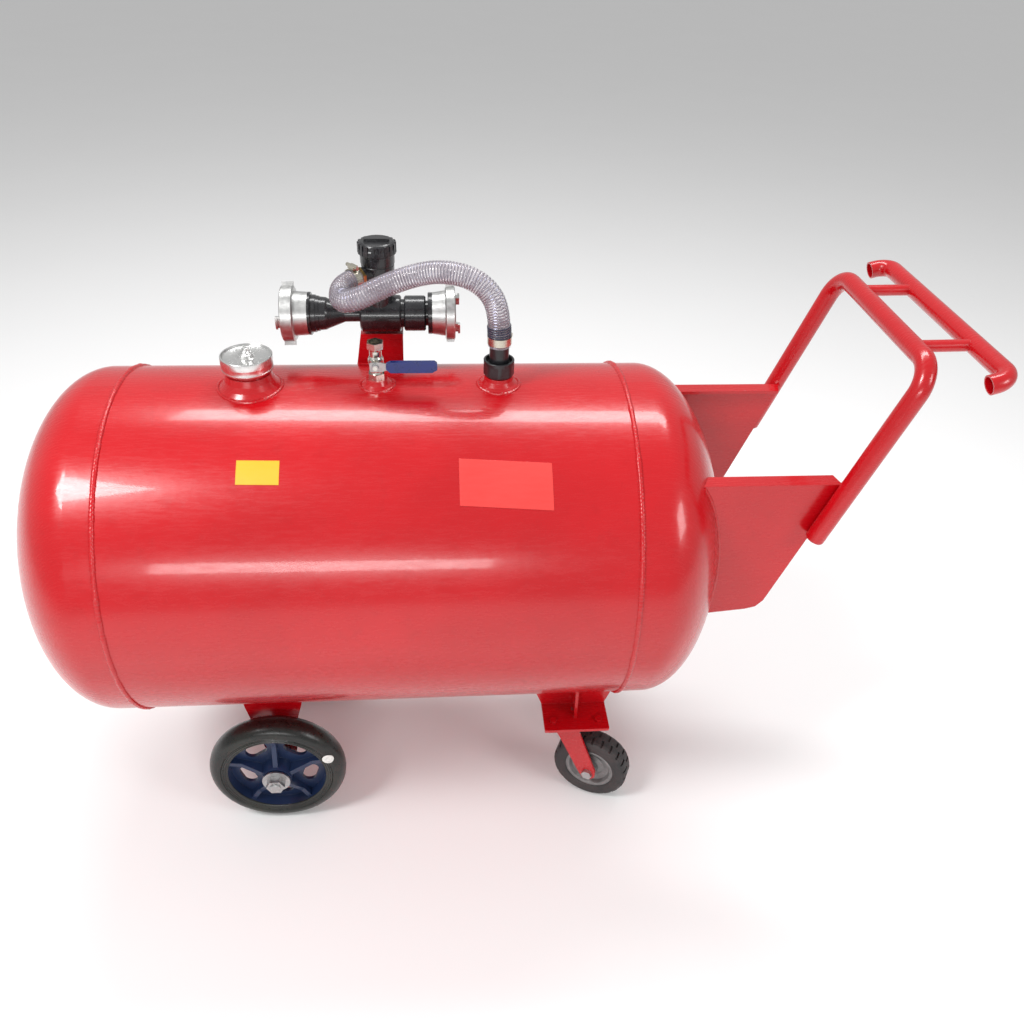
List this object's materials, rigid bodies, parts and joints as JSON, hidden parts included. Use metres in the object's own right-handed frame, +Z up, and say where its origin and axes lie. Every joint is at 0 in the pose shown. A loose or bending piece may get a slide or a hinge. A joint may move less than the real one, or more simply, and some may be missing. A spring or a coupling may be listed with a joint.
{
  "type": "wheeled foam tank",
  "caption": "Horizontal steel foam tank on two fixed wheels and two swivel casters, with a push handle and a hose-fed in-line inductor on top.",
  "frame": {"origin": "on the floor, under the middle of the whole object", "axes": "+X along the tank towards the push handle, +Z up"},
  "size_m": [1.536, 0.6068, 1.0593],
  "materials": {
    "red_paint": "gloss",
    "turned_aluminium": "satin, turned",
    "cast_aluminium": "satin",
    "black_anodised": "satin",
    "nickel": "polished",
    "blue_vinyl": "dipped vinyl",
    "zinc_steel": "zinc plated",
    "clamp_steel": "polished",
    "brass": "satin",
    "black_plastic": "satin",
    "white_ptfe": "smooth",
    "seal_rubber": "matte",
    "tyre_rubber": "smooth black",
    "caster_rubber": "block tread",
    "blue_paint": "satin",
    "rim_steel": "satin grey",
    "bearing_steel": "ground",
    "clear_pvc": "clear, wire reinforced",
    "pvc_pipe": "smooth"
  },
  "bodies": {
    "frame": {"tank_shell": "red_paint", "tank_heads": "red_paint", "weld_seams": "red_paint", "fill_neck": "red_paint", "vent_socket": "red_paint", "valve_body": "nickel", "valve_seats": "white_ptfe", "packing_nut": "nickel", "suction_socket": "red_paint", "hose_tail": "black_plastic", "seal_rings": "seal_rubber", "union_nut": "black_plastic", "dip_tube": "pvc_pipe", "inductor_bracket": "red_paint", "bracket_bolts": "zinc_steel", "inductor_body": "black_anodised", "diffuser": "black_anodised", "inlet_section": "black_anodised", "jet_nozzle": "brass", "outlet_coupling": "cast_aluminium", "inlet_coupling": "cast_aluminium", "metering_housing": "black_anodised", "suction_nipple": "brass", "suction_hose": "clear_pvc", "hose_clamps": "clamp_steel", "axle_legs": "red_paint", "wheel_axle": "zinc_steel", "axle_spacers": "zinc_steel", "axle_washers": "zinc_steel", "axle_nuts": "zinc_steel", "caster_mounts": "red_paint", "caster_top_plates": "red_paint", "caster_bolts": "red_paint", "caster_races": "zinc_steel", "caster_kingpins": "zinc_steel", "handle_plates": "red_paint", "handle_tube": "red_paint", "push_bar": "red_paint"},
    "cap_ring": {"cap_seal": "seal_rubber"},
    "cap": {"fill_cap": "turned_aluminium"},
    "valve_handle": {"lever": "zinc_steel", "lever_sleeve": "blue_vinyl", "lever_nut": "zinc_steel", "valve_stem": "nickel", "valve_ball": "nickel"},
    "meter_knob": {"metering_knob": "black_plastic"},
    "wheel_right": {"tyre_right": "tyre_rubber", "rim_right": "blue_paint", "wheel_bearings_right": "bearing_steel"},
    "wheel_left": {"tyre_left": "tyre_rubber", "rim_left": "blue_paint", "wheel_bearings_left": "bearing_steel"},
    "caster_swivel_right": {"caster_fork_right": "red_paint", "caster_axle_right": "zinc_steel"},
    "caster_wheel_right": {"caster_rim_right": "rim_steel", "caster_tyre_right": "caster_rubber"},
    "caster_swivel_left": {"caster_fork_left": "red_paint", "caster_axle_left": "zinc_steel"},
    "caster_wheel_left": {"caster_rim_left": "rim_steel", "caster_tyre_left": "caster_rubber"}
  },
  "joints": [
    {"name": "cap_rise", "type": "slide", "parent": "frame", "child": "cap_ring", "axis": [0, 0, 1], "range_m": [0, 0.00924]},
    {"name": "cap_turn", "type": "hinge", "parent": "cap_ring", "child": "cap", "pos_m": [-0.375, 0, 0.9], "axis": [0, 0, 1], "range_deg": [0, 1440]},
    {"name": "valve_lever_turn", "type": "hinge", "parent": "frame", "child": "valve_handle", "pos_m": [-0.172, -0.022, 0.902], "axis": [0, -1, 0], "range_deg": [0, 90]},
    {"name": "metering_turn", "type": "hinge", "parent": "frame", "child": "meter_knob", "pos_m": [-0.1695, 0.145, 1.03], "axis": [0, 0, 1], "range_deg": [0, 270]},
    {"name": "wheel_right_spin", "type": "hinge", "parent": "frame", "child": "wheel_right", "pos_m": [-0.392, -0.171, 0.128], "axis": [0, 1, 0], "continuous": true},
    {"name": "wheel_left_spin", "type": "hinge", "parent": "frame", "child": "wheel_left", "pos_m": [-0.392, 0.171, 0.128], "axis": [0, 1, 0], "continuous": true},
    {"name": "caster_right_swivel", "type": "hinge", "parent": "frame", "child": "caster_swivel_right", "pos_m": [0.181, -0.127, 0.185], "axis": [0, 0, 1], "continuous": true},
    {"name": "caster_right_spin", "type": "hinge", "parent": "caster_swivel_right", "child": "caster_wheel_right", "pos_m": [0.2245, -0.14729, 0.075], "axis": [0.4226, 0.9063, 0], "continuous": true},
    {"name": "caster_left_swivel", "type": "hinge", "parent": "frame", "child": "caster_swivel_left", "pos_m": [0.181, 0.127, 0.185], "axis": [0, 0, 1], "continuous": true},
    {"name": "caster_left_spin", "type": "hinge", "parent": "caster_swivel_left", "child": "caster_wheel_left", "pos_m": [0.22795, 0.13698, 0.075], "axis": [-0.2079, 0.9781, 0], "continuous": true}
  ],
  "couplings": [
    {"joint": "cap_rise", "follows": "cap_turn", "m_per_rad": 0.00036765}
  ]
}
